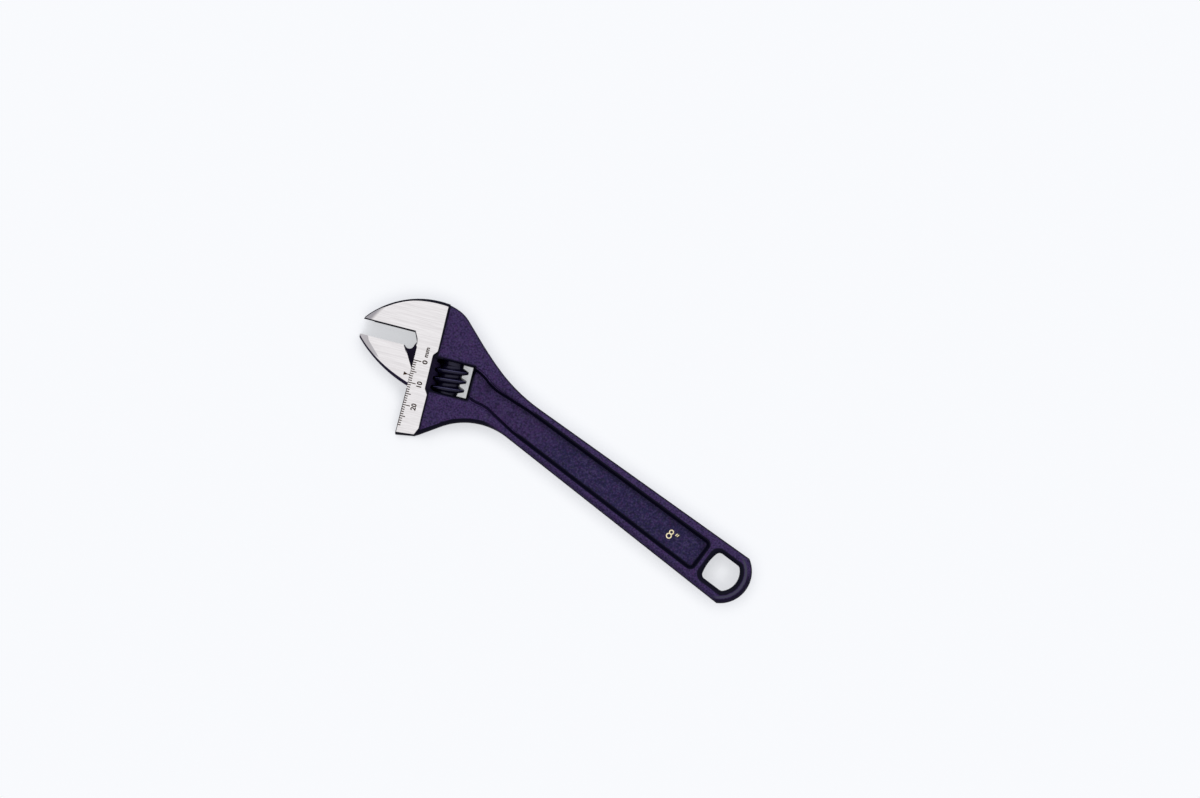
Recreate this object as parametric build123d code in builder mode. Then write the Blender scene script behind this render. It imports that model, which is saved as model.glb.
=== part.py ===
"""Adjustable wrench of the 8-inch size: forged body, sliding jaw with its rack, worm, pin and spring."""

import os
from math import atan, ceil, cos, degrees, pi, radians, sin, sqrt, tan

from build123d import *

os.makedirs("parts", exist_ok=True)

# Frame: X along the handle, Z through the thickness, origin on the lower cheek where the handle's centre line
# crosses the guide bore's axis. Head sizes are u along the jaw faces and v across them, from the same point.
HEAD_ANGLE = 22.5  # jaw faces against the handle's centre line
HEAD_THICKNESS = 14.6  # over the ground cheeks

# Fixed jaw and cheeks
JAW_FACE = 7.94  # v of the fixed jaw's face
JAW_ARC_RADIUS = 39.0  # back of the fixed jaw
JAW_ARC_CENTRE = (-1.72, -15.46)
FIXED_NOSE = 1.2  # height of its blunt nose
FIXED_NOSE_BACK = 0.45  # off the sharp tip, at the jaw's face
THROAT_DEPTH = 2.45  # inner end of the fixed jaw's face, before the cheeks' front edges
THROAT_BEND = (0.6, 3.95)  # before the cheeks' front edges, and v
THROAT_RADIUS = 0.7
THROAT_NOTCH = 0.4
CHEEK_EDGE = 6.9  # front edges of the cheeks, before the bore's axis
CHEEK_TOP = 1.75  # upper end of the cheeks' front edges
CHEEK_BACK = 3.0  # ground faces behind the bore's axis
CHEEK_BACK_TOP = 2.6
CHEEK_BOTTOM = -37.26
CHEEK_BOTTOM_RISE = 0.9  # over the width of the cheek
CHEEK_CORNER = (1.6, 2.5)  # cut off the ground faces' lower corner
CHEEK_STEP = 0.8
NOTCH_ENDS = (2.85, 0.8)  # ground faces' notch at the window, its slanted end above the window
NOTCH_ENDS_LOWER = (1.75, -0.4)  # the same below the window
CHEEK_ROUND = 1.0
CHEEK_END_ROUND = 1.1
JAW_EDGE_BREAK = 0.35  # along the fixed jaw's face
BEVEL_ANGLE = 58.0  # ground bevels beside both jaw tips, from the vertical
BEVEL_DEPTH = 2.6
BEVEL_LEAD = 6.0  # its edge runs on past both ends
FIXED_BEVEL = ((4.92, 1.5), (7.91, 6.4), (11.52, 11.16))  # u from the tip and v from the face
MOVING_BEVEL = ((3.2, 1.16), (6.9, -5.99), (13.6, -12.44))
OUTER_ARC = 20.0  # arcs of the jaws' backs are all larger

# Forged neck and handle
NECK_THICKNESS = 12.8
HANDLE_THICKNESS = 9.2
THIN_FROM = 22.0  # the neck thins down to the handle from here
THIN_TO = 56.0
NECK_END = 48.4
HANDLE_HALF_WIDTH = 9.25  # where the neck ends
HANDLE_FLARE = 0.0245  # gain of the half width along the handle
HANDLE_END = 171.55
END_DEPTH = 6.95  # rounded end, from its corners to its tip
UPPER_TANGENT = 52.0  # where the upper edge leaves the handle's taper
UPPER_RADII = (76.0, 160.0)  # hollow of the neck, tighter at the handle
UPPER_SLOPES = (17.0, 22.3)
UPPER_RUN = 10.6
CROWN_RADII = (14.8, 25.0)
CROWN_SWEEP = 14.0
LOWER_RADIUS = 29.8
LOWER_SLOPE = 57.0
FOOT_PAST_CHEEK = 0.4  # lower end of the neck, past the cheeks' corner
EDGE_ROUND = 2.0

# Hang hole
END_WALL = 5.35
HOLE_LENGTH = 15.0
HOLE_HALF_WIDTH = 6.65
HOLE_LEFT_RADIUS = 20.0
HOLE_CORNER = 2.2
HOLE_ROUND = 1.6

# Recessed panel on both faces of the handle
RIB_WIDTH = 3.8  # between the panel and the hang hole
PANEL_HALF_WIDTH = 6.4  # at the rims, where the neck ends
PANEL_FLARE = 0.011
PANEL_DEPTH = 1.9
PANEL_NECK_DEPTH = 0.7
PANEL_DRAFT = 25.0
PANEL_CORNER = 2.5
PANEL_MARGIN = 0.6  # of the recess's cut, past its floor and the neck's face
PANEL_WAIST_UPPER = (34.0, 5.2)
PANEL_WAIST_LOWER = (35.0, 4.8)
PANEL_FLARE_RADII = (19.0, 13.8)  # upper and lower edge beside the window
PANEL_FLARE_ANGLES = (18.0, 16.0)
PANEL_OPENING_ANGLES = (4.3, 6.0)  # both edges spread by this at the window
PANEL_END_RUNS = (1.9, 6.0)

# Guide rail and its bore
RAIL_RADIUS = 5.4
RAIL_CLEARANCE = 0.1
RAIL_RISE = 6.86  # rail's top above the moving jaw's face
WEB_THICKNESS = 6.0
SLOT_CLEARANCE = 0.1
SLOT_MARGIN = 0.25  # past the inner end of the fixed jaw's face
SLOT_CORNER = 4.6
BORE_RESERVE = 0.5  # left above the rail when the jaws are closed

# Moving jaw
REST_OPENING = 6.7
CLOSED_STOP = 0.05  # gap left between the jaw faces when closed
JAW_CLEARANCE = 0.15  # moving jaw before the cheeks' front edges
MOVING_DEPTH = 16.99  # face to heel
MOVING_TIP_SETBACK = 0.42  # from the fixed jaw's tip
MOVING_NOSE = 1.55  # height of its blunt nose
MOVING_NOSE_LEAN = 0.12
MOVING_ARC_RADIUS = 60.0
MOVING_ROUND = 0.8
RELIEF_WIDTH = 5.35  # inner end of the moving jaw's face, before its back edge
RELIEF_DEPTH = 9.1
HOLLOW_DEPTH = 1.1  # of the web beside the face's inner end
HOLLOW_WIDTH = 4.0
HOLLOW_RISE = 0.66
WEB_STEP = (0.8, 2.0)  # web's upper edge beyond the hollow
WEB_TOP_SETBACK = (1.9, 0.6)  # from the rail's side and top

# Worm and its window
WORM_CREST_RADIUS = 7.25
WORM_ROOT_RADIUS = 4.75
COLLAR_STEP = 0.25  # collars below the thread's root
WORM_PITCH = 3.93
WORM_CREST_FLAT = 1.05
CREST_ROUND = 0.5  # of the thread's crests, within the flat
CREST_MARGIN = 0.03  # the round starts outside the blank
WORM_FLANK = 21.0
WORM_END_GAP = 0.2
CREST_BELOW_WINDOW = 3.4  # first crest on the side away from the rack
COLLAR_LENGTH = 1.5
COLLAR_LENGTH_LOWER = 0.7
THREAD_RUNOUT = 0.8
RACK_TIP_GAP = 0.4  # rail to the worm's root
RACK_ROOT_GAP = 0.25  # rack's root to the worm's crests
RACK_BACKLASH = 0.2  # each side of a tooth
WINDOW_TOP = -0.66
WINDOW_LENGTH = 14.6
WINDOW_FRONT = 1.1
WINDOW_BACK_GAP = 2.05  # behind the worm
WINDOW_CHAMFER = 0.6
CHAMFER_START = 0.5  # behind the guide bore

# Pin and spring
PIN_RADIUS = 2.0
PIN_CHAMFER = 0.4
PIN_CLEARANCE = 0.05
PIN_BITE = 5.2  # into the wall above the window
PIN_END_GAP = 0.3
PIN_HEAD_RADIUS = 2.9
PIN_HEAD_LENGTH = 7.5
PIN_HEAD_BELOW = 4.5  # its shoulder below the window
PIN_SLOT = 0.9
PIN_SLOT_DEPTH = 1.4
SPRING_WIRE = 0.7
SPRING_GAP = 0.4  # round the pin
SPRING_TURNS = 4.0
SPRING_END_GAP = 0.02
SPRING_POCKET_GAP = 0.2  # round the spring
SPRING_POCKET_DEPTH = 5.0

REACH = 250.0  # of cuts that go right through

# Derived sizes
HALF = HEAD_THICKNESS / 2
NECK_HALF = NECK_THICKNESS / 2
HANDLE_HALF = HANDLE_THICKNESS / 2
BORE_RADIUS = RAIL_RADIUS + RAIL_CLEARANCE
SLOT_HALF = WEB_THICKNESS / 2 + SLOT_CLEARANCE
MOVING_FACE = JAW_FACE - REST_OPENING
MOVING_HEEL = MOVING_FACE - MOVING_DEPTH
MOVING_EDGE = CHEEK_EDGE + JAW_CLEARANCE
THROAT_U = -CHEEK_EDGE - THROAT_DEPTH
RELIEF_U = -MOVING_EDGE - RELIEF_WIDTH
CHEEK_FOOT = CHEEK_BOTTOM + CHEEK_BOTTOM_RISE
CORNER_U = CHEEK_BACK - CHEEK_CORNER[0]
FIXED_TIP_U = JAW_ARC_CENTRE[0] - sqrt(JAW_ARC_RADIUS**2 - (JAW_FACE - JAW_ARC_CENTRE[1]) ** 2)
MOVING_TIP_U = FIXED_TIP_U + MOVING_TIP_SETBACK
CLOSING_TRAVEL = REST_OPENING - CLOSED_STOP
RAIL_TOP = MOVING_FACE + RAIL_RISE
BORE_TOP = RAIL_TOP + CLOSING_TRAVEL + BORE_RESERVE
WORM_U = RAIL_RADIUS + RACK_TIP_GAP + WORM_ROOT_RADIUS
RACK_ROOT_U = WORM_U - WORM_CREST_RADIUS - RACK_ROOT_GAP
WINDOW_BOTTOM = WINDOW_TOP - WINDOW_LENGTH
WINDOW_MIDDLE = (WINDOW_TOP + WINDOW_BOTTOM) / 2
WINDOW_BACK = WORM_U + WORM_CREST_RADIUS + WINDOW_BACK_GAP
WORM_TOP = WINDOW_TOP - WORM_END_GAP
WORM_BOTTOM = WINDOW_BOTTOM + WORM_END_GAP
WORM_CREST_V = WINDOW_TOP - CREST_BELOW_WINDOW
WORM_BORE_RADIUS = PIN_RADIUS + PIN_CLEARANCE
WORM_COLLAR_RADIUS = WORM_ROOT_RADIUS - COLLAR_STEP
WORM_TURNS = ceil(WINDOW_LENGTH / WORM_PITCH)
THREAD_DEPTH = WORM_CREST_RADIUS - WORM_ROOT_RADIUS
FLANK_SLOPE = tan(radians(WORM_FLANK))
LEAD = atan(WORM_PITCH / (pi * (WORM_CREST_RADIUS + WORM_ROOT_RADIUS)))
PIN_TOP = WINDOW_TOP + PIN_BITE
PIN_SHOULDER = WINDOW_BOTTOM - PIN_HEAD_BELOW
PIN_FOOT = PIN_SHOULDER - PIN_HEAD_LENGTH
SPRING_RADIUS = PIN_RADIUS + SPRING_GAP + SPRING_WIRE / 2
SPRING_POCKET_RADIUS = SPRING_RADIUS + SPRING_WIRE / 2 + SPRING_POCKET_GAP
FLARE_ANGLE = degrees(atan(HANDLE_FLARE))
HOLE_RIGHT = HANDLE_END - END_WALL
HOLE_LEFT = HOLE_RIGHT - HOLE_LENGTH
PANEL_END = HOLE_LEFT - RIB_WIDTH

# Planes: the head's and the handle's middle planes, and the side view of the handle
turn = radians(HEAD_ANGLE)
U_DIR = Vector(cos(turn), sin(turn), 0)
V_DIR = Vector(-sin(turn), cos(turn), 0)
HEAD = Plane(origin=(0, 0, HALF), x_dir=U_DIR, z_dir=(0, 0, 1))
HANDLE = Plane(origin=(0, 0, HALF), x_dir=(1, 0, 0), z_dir=(0, 0, 1))
SIDE = Plane(origin=(0, 0, HALF), x_dir=(1, 0, 0), z_dir=(0, -1, 0))
WORM_POINT = HEAD.from_local_coords((WORM_U, 0, 0))
WORM_AXIS = Axis(WORM_POINT, V_DIR)
TURNED = Plane(origin=WORM_POINT, x_dir=U_DIR, z_dir=(0, 0, 1))
TURNED_UPRIGHT = Plane(origin=WORM_POINT, x_dir=(0, 0, 1), z_dir=-U_DIR)


def across(u, v):
    """Plane across the head's v direction, its own Z along +v and its own X along +u."""
    return Plane(origin=HEAD.from_local_coords((u, v, 0)), x_dir=U_DIR, z_dir=V_DIR)


def on_handle(u, v):
    """A point of the head, in the handle's own coordinates."""
    return HANDLE.to_local_coords(HEAD.from_local_coords((u, v, 0)))


def handle_edge(x):
    """Half width of the handle at x."""
    return HANDLE_HALF_WIDTH + HANDLE_FLARE * (x - NECK_END)


def panel_edge(x):
    """Half width of the panel at x, at the level of the rims."""
    return PANEL_HALF_WIDTH + PANEL_FLARE * (x - NECK_END)


def jaw_back_v(u):
    """v of the fixed jaw's back at u."""
    return JAW_ARC_CENTRE[1] + sqrt(JAW_ARC_RADIUS**2 - (u - JAW_ARC_CENTRE[0]) ** 2)


def jaw_back_u(v):
    """u of the fixed jaw's back at v, on the side of its tip."""
    return JAW_ARC_CENTRE[0] - sqrt(JAW_ARC_RADIUS**2 - (v - JAW_ARC_CENTRE[1]) ** 2)


def bevel_outline(points, tip_u, face_v):
    """Ground bevel beside a jaw's tip: its edge on the head's face, and the area outside it."""
    edge = ThreePointArc(*((tip_u + u, face_v + v) for u, v in points))
    start = edge @ 0 - (edge % 0) * BEVEL_LEAD
    end = edge @ 1 + (edge % 1) * BEVEL_LEAD
    outside = Vector(-3 * BEVEL_LEAD, 0)
    Polyline(edge @ 0, start, start + outside, end + outside, end, edge @ 1)


# Fixed jaw and cheeks: one outline, ground flat on both faces, its back rounded and its tip bevelled
nose_top = (jaw_back_u(JAW_FACE + FIXED_NOSE), JAW_FACE + FIXED_NOSE)
back_start = (CHEEK_BACK_TOP, jaw_back_v(CHEEK_BACK_TOP))
back_middle_u = (back_start[0] + nose_top[0]) / 2
with BuildPart() as cheeks:
    with BuildSketch(HEAD) as cheek_outline:
        with BuildLine():
            Polyline(
                nose_top,
                (FIXED_TIP_U + FIXED_NOSE_BACK, JAW_FACE),
                (THROAT_U, JAW_FACE),
                (-CHEEK_EDGE - THROAT_BEND[0], THROAT_BEND[1]),
                (-CHEEK_EDGE - THROAT_NOTCH, CHEEK_TOP + THROAT_NOTCH),
                (-CHEEK_EDGE, CHEEK_TOP),
                (-CHEEK_EDGE, CHEEK_BOTTOM),
                (CORNER_U, CHEEK_FOOT),
                (CORNER_U, CHEEK_FOOT + CHEEK_STEP),
                (CHEEK_BACK, CHEEK_FOOT + CHEEK_STEP + CHEEK_CORNER[1]),
                (CHEEK_BACK, WINDOW_BOTTOM - NOTCH_ENDS_LOWER[0]),
                (WINDOW_FRONT, WINDOW_BOTTOM - NOTCH_ENDS_LOWER[1]),
                (WINDOW_FRONT, WINDOW_TOP + NOTCH_ENDS[1]),
                (CHEEK_BACK, WINDOW_TOP + NOTCH_ENDS[0]),
                back_start,
            )
            ThreePointArc(back_start, (back_middle_u, jaw_back_v(back_middle_u)), nose_top)
        make_face()
        fillet(cheek_outline.vertices().sort_by_distance((THROAT_U, JAW_FACE))[0], THROAT_RADIUS)
    extrude(amount=HALF, both=True)
    flats = cheeks.faces().filter_by(Axis.Z)
    fillet(flats.edges().filter_by(GeomType.CIRCLE).filter_by(lambda e: e.radius > OUTER_ARC), CHEEK_ROUND)
    lines = cheeks.faces().filter_by(Axis.Z).edges().filter_by(GeomType.LINE)
    fillet(lines.filter_by(lambda e: HEAD.to_local_coords(e @ 0.5).Y < CHEEK_FOOT), CHEEK_END_ROUND)
    lines = cheeks.faces().filter_by(Axis.Z).edges().filter_by(GeomType.LINE)
    face_edges = lines.filter_by(lambda e: HEAD.to_local_coords(e @ 0.5).X < THROAT_U)
    chamfer(face_edges, JAW_EDGE_BREAK)
    for side in (1, -1):
        with BuildSketch(HEAD.offset(side * HALF)):
            with BuildLine():
                bevel_outline(FIXED_BEVEL, FIXED_TIP_U, JAW_FACE)
            make_face()
        extrude(amount=-side * BEVEL_DEPTH, taper=BEVEL_ANGLE, mode=Mode.SUBTRACT)

# Forged neck and handle: the upper half of its plan outline, thinned from the neck to the handle and rounded,
# and its mirror image below
end_corner = HANDLE_END - END_DEPTH
foot = on_handle(CORNER_U + FOOT_PAST_CHEEK, CHEEK_FOOT)
foot_slope = tan(radians(LOWER_SLOPE))
bend_x = (foot_slope * foot.X - foot.Y - handle_edge(0)) / (foot_slope + HANDLE_FLARE)
with BuildPart() as forging:
    with BuildSketch(HANDLE):
        with BuildLine():
            lower_corner = (end_corner, -handle_edge(end_corner))
            upper_corner = (end_corner, handle_edge(end_corner))
            ThreePointArc(lower_corner, (HANDLE_END, 0), upper_corner)
            upper = Line(upper_corner, (UPPER_TANGENT, handle_edge(UPPER_TANGENT)))
            neck = JernArc(upper @ 1, upper % 1, UPPER_RADII[0], -(UPPER_SLOPES[0] + FLARE_ANGLE))
            rise = JernArc(neck @ 1, neck % 1, UPPER_RADII[1], UPPER_SLOPES[0] - UPPER_SLOPES[1])
            run = Line(rise @ 1, rise @ 1 + (rise % 1) * UPPER_RUN)
            top = JernArc(run @ 1, run % 1, CROWN_RADII[0], UPPER_SLOPES[1])
            crown = JernArc(top @ 1, top % 1, CROWN_RADII[1], CROWN_SWEEP)
            bend = (bend_x, -handle_edge(bend_x))
            FilletPolyline(lower_corner, bend, (foot.X, foot.Y), radius=LOWER_RADIUS)
            Polyline(crown @ 1, on_handle(0, BORE_TOP), on_handle(0, CHEEK_FOOT + CHEEK_BACK), foot)
        make_face()
    extrude(amount=NECK_HALF)
    with BuildSketch(SIDE):
        with BuildLine():
            slope = Spline((THIN_FROM, NECK_HALF), (THIN_TO, HANDLE_HALF), tangents=((1, 0), (1, 0)))
            far_end = Polyline(slope @ 1, (REACH, HANDLE_HALF), (REACH, 0))
            Polyline(far_end @ 1, (-REACH, 0), (-REACH, NECK_HALF), slope @ 0)
        make_face()
    extrude(amount=REACH, both=True, mode=Mode.INTERSECT)
    walls = forging.faces().filter_by(lambda f: abs(f.normal_at().Z) < 0.01)
    outer = walls.filter_by(lambda f: HEAD.to_local_coords(f.center()).X > CORNER_U)
    rims = outer.edges().filter_by(lambda e: abs((e % 0.5).Z) < 0.5 and (e @ 0.5).Z > HALF + HANDLE_HALF / 2)
    fillet(rims, EDGE_ROUND)
    mirror(about=HANDLE)

# Recess on one face of the handle: sloped walls from the rims, its floor rising towards the window
with BuildPart() as panel:
    with BuildSketch(HANDLE.offset(HANDLE_HALF)) as panel_outline:
        with BuildLine():
            lower_waist = (PANEL_WAIST_LOWER[0], -PANEL_WAIST_LOWER[1])
            neck_edge = panel_edge(NECK_END)
            end_edge = panel_edge(PANEL_END)
            upper_radius, lower_radius = PANEL_FLARE_RADII
            upper_turn, lower_turn = PANEL_FLARE_ANGLES
            upper_spread, lower_spread = PANEL_OPENING_ANGLES
            upper = Polyline((PANEL_END, end_edge), (NECK_END, neck_edge), PANEL_WAIST_UPPER)
            upper_out = JernArc(upper @ 1, upper % 1, upper_radius, -upper_turn - upper_spread)
            upper_back = JernArc(upper_out @ 1, upper_out % 1, upper_radius, upper_turn)
            upper_end = Line(upper_back @ 1, upper_back @ 1 + (upper_back % 1) * PANEL_END_RUNS[0])
            lower = Polyline((PANEL_END, -end_edge), (NECK_END, -neck_edge), lower_waist)
            lower_out = JernArc(lower @ 1, lower % 1, lower_radius, lower_turn + lower_spread)
            lower_back = JernArc(lower_out @ 1, lower_out % 1, lower_radius, -lower_turn)
            lower_end = Line(lower_back @ 1, lower_back @ 1 + (lower_back % 1) * PANEL_END_RUNS[1])
            Line(upper_end @ 1, lower_end @ 1)
            Line(upper @ 0, lower @ 0)
        make_face()
        fillet(panel_outline.vertices().group_by(Axis.X)[-1], PANEL_CORNER)
    extrude(panel_outline.sketch, amount=-PANEL_DEPTH - PANEL_MARGIN, taper=PANEL_DRAFT)
    extrude(panel_outline.sketch, amount=NECK_HALF - HANDLE_HALF + PANEL_MARGIN, taper=-PANEL_DRAFT)
    neck_floor = NECK_HALF - PANEL_NECK_DEPTH
    handle_floor = HANDLE_HALF - PANEL_DEPTH
    with BuildSketch(SIDE):
        with BuildLine():
            floor = Spline((THIN_FROM, neck_floor), (THIN_TO, handle_floor), tangents=((1, 0), (1, 0)))
            far_end = Polyline(floor @ 1, (REACH, handle_floor), (REACH, HEAD_THICKNESS))
            Polyline(far_end @ 1, (-REACH, HEAD_THICKNESS), (-REACH, neck_floor), floor @ 0)
        make_face()
    extrude(amount=REACH, both=True, mode=Mode.INTERSECT)

# Body: cheeks and forging in one, with the recesses, hang hole, guide bore, window and the pin's hole
end_half_width = handle_edge(end_corner)
end_centre = HANDLE_END - (end_half_width**2 + END_DEPTH**2) / (2 * END_DEPTH)
hole_corner_x = end_centre + sqrt((HOLE_RIGHT - end_centre) ** 2 - HOLE_HALF_WIDTH**2)
hole_start_x = HOLE_LEFT + HOLE_LEFT_RADIUS - sqrt(HOLE_LEFT_RADIUS**2 - HOLE_HALF_WIDTH**2)
with BuildPart() as body:
    add(cheeks.part)
    add(forging.part)
    add(panel.part, mode=Mode.SUBTRACT)
    add(mirror(panel.part, about=HEAD, mode=Mode.PRIVATE), mode=Mode.SUBTRACT)
    with BuildSketch(HANDLE) as hole_outline:
        with BuildLine():
            right = ThreePointArc(
                (hole_corner_x, -HOLE_HALF_WIDTH), (HOLE_RIGHT, 0), (hole_corner_x, HOLE_HALF_WIDTH)
            )
            left = ThreePointArc(
                (hole_start_x, -HOLE_HALF_WIDTH), (HOLE_LEFT, 0), (hole_start_x, HOLE_HALF_WIDTH)
            )
            Line(right @ 0, left @ 0)
            Line(right @ 1, left @ 1)
        make_face()
        fillet(hole_outline.vertices(), HOLE_CORNER)
    extrude(amount=HANDLE_THICKNESS, both=True, mode=Mode.SUBTRACT)
    hole_middle = HANDLE.from_local_coords(((HOLE_LEFT + HOLE_RIGHT) / 2, 0, 0))
    upright = body.faces().filter_by(lambda f: abs(f.normal_at().Z) < 0.01)
    hole_walls = upright.filter_by(lambda f: (f.center() - hole_middle).length < HOLE_LENGTH / 2 + HOLE_ROUND)
    fillet(hole_walls.edges().filter_by(lambda e: abs((e % 0.5).Z) < 0.5), HOLE_ROUND)
    # Guide bore, open at the cheeks' lower end, and the slot for the jaw's web
    with BuildSketch(across(0, BORE_TOP)):
        Circle(BORE_RADIUS)
    extrude(amount=-REACH, mode=Mode.SUBTRACT)
    slot_u = THROAT_U - SLOT_MARGIN
    with BuildSketch(HEAD):
        with BuildLine():
            corner = Line((slot_u, BORE_TOP - SLOT_CORNER), (slot_u + SLOT_CORNER, BORE_TOP))
            Polyline(corner @ 1, (0, BORE_TOP), (0, -REACH), (slot_u, -REACH), corner @ 0)
        make_face()
    extrude(amount=SLOT_HALF, both=True, mode=Mode.SUBTRACT)
    # Worm window, chamfered where it meets the neck's faces
    with BuildSketch(HEAD):
        with Locations(((WINDOW_FRONT + WINDOW_BACK) / 2, WINDOW_MIDDLE)):
            Rectangle(WINDOW_BACK - WINDOW_FRONT, WINDOW_LENGTH)
    extrude(amount=HEAD_THICKNESS, both=True, mode=Mode.SUBTRACT)
    chamfer_u = BORE_RADIUS + CHAMFER_START
    for side in (1, -1):
        with BuildSketch(HEAD.offset(side * (NECK_HALF - WINDOW_CHAMFER))):
            with Locations(((chamfer_u + WINDOW_BACK) / 2, WINDOW_MIDDLE)):
                Rectangle(WINDOW_BACK - chamfer_u, WINDOW_LENGTH)
        extrude(amount=side * (HALF - NECK_HALF + WINDOW_CHAMFER), taper=-45, mode=Mode.SUBTRACT)
    # Hole for the pin: wide from the lower shoulder, then narrow past the window
    with BuildSketch(across(WORM_U, PIN_SHOULDER)):
        Circle(PIN_HEAD_RADIUS + PIN_CLEARANCE)
    extrude(amount=-REACH, mode=Mode.SUBTRACT)
    with BuildSketch(across(WORM_U, PIN_TOP + PIN_END_GAP)):
        Circle(WORM_BORE_RADIUS)
    extrude(amount=PIN_SHOULDER - PIN_TOP - PIN_END_GAP, mode=Mode.SUBTRACT)
body.part.label = "body"
export_step(body.part, "parts/body.step")

# Moving jaw: full-thickness jaw, thin web, and the guide rail with its rack
hollow_end = (RELIEF_U + HOLLOW_WIDTH, MOVING_FACE + HOLLOW_RISE)
hollow_low = (RELIEF_U + HOLLOW_WIDTH / 2, MOVING_FACE - HOLLOW_DEPTH)
nose_foot = (MOVING_TIP_U + MOVING_NOSE_LEAN, MOVING_FACE - MOVING_NOSE)
with BuildPart() as moving_jaw:
    with BuildSketch(HEAD):
        with BuildLine():
            Polyline(
                nose_foot,
                (MOVING_TIP_U, MOVING_FACE),
                (RELIEF_U, MOVING_FACE),
                (-MOVING_EDGE, MOVING_FACE - RELIEF_DEPTH),
                (-MOVING_EDGE, MOVING_HEEL),
            )
            RadiusArc((-MOVING_EDGE, MOVING_HEEL), nose_foot, MOVING_ARC_RADIUS)
        make_face()
    extrude(amount=HALF, both=True)
    flats = moving_jaw.faces().filter_by(Axis.Z)
    fillet(flats.edges().filter_by(GeomType.CIRCLE).filter_by(lambda e: e.radius > OUTER_ARC), MOVING_ROUND)
    for side in (1, -1):
        with BuildSketch(HEAD.offset(side * HALF)):
            with BuildLine():
                bevel_outline(MOVING_BEVEL, MOVING_TIP_U, MOVING_FACE)
            make_face()
        extrude(amount=-side * BEVEL_DEPTH, taper=BEVEL_ANGLE, mode=Mode.SUBTRACT)
    with BuildSketch(HEAD):
        with BuildLine():
            hollow = ThreePointArc((RELIEF_U, MOVING_FACE), hollow_low, hollow_end)
            Polyline(
                hollow @ 1,
                (hollow_end[0] + WEB_STEP[0], hollow_end[1] + WEB_STEP[1]),
                (-RAIL_RADIUS + WEB_TOP_SETBACK[0], RAIL_TOP - WEB_TOP_SETBACK[1]),
                (0, RAIL_TOP - WEB_TOP_SETBACK[1]),
                (0, MOVING_HEEL),
                (-MOVING_EDGE, MOVING_HEEL),
                (-MOVING_EDGE - MOVING_ROUND, MOVING_HEEL + MOVING_ROUND),
                (-MOVING_EDGE - MOVING_ROUND, MOVING_FACE - RELIEF_DEPTH),
                hollow @ 0,
            )
        make_face()
    extrude(amount=WEB_THICKNESS / 2, both=True)
    with BuildSketch(across(0, RAIL_TOP)):
        Circle(RAIL_RADIUS)
    extrude(amount=MOVING_HEEL - RAIL_TOP)
    # Tooth spaces of the rack, leaning with the worm's lead, level with its crests on the rack's side
    teeth = Plane(origin=(0, 0, HALF), x_dir=U_DIR, z_dir=V_DIR * sin(LEAD) + Vector(0, 0, cos(LEAD)))
    mouth_u = RAIL_RADIUS + RACK_TIP_GAP
    bottom_half = WORM_CREST_FLAT / 2 + RACK_BACKLASH - RACK_ROOT_GAP * FLANK_SLOPE
    mouth_half = bottom_half + (mouth_u - RACK_ROOT_U) * FLANK_SLOPE
    first_space = WORM_CREST_V + WORM_PITCH / 2
    with BuildSketch(teeth):
        with Locations(*((0, first_space + k * WORM_PITCH) for k in range(-WORM_TURNS, WORM_TURNS))):
            Polygon(
                (RACK_ROOT_U, -bottom_half),
                (mouth_u, -mouth_half),
                (mouth_u, mouth_half),
                (RACK_ROOT_U, bottom_half),
                align=None,
            )
    extrude(amount=HEAD_THICKNESS, both=True, mode=Mode.SUBTRACT)
moving_jaw.part.label = "moving_jaw"
export_step(moving_jaw.part, "parts/moving_jaw.step")

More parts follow.
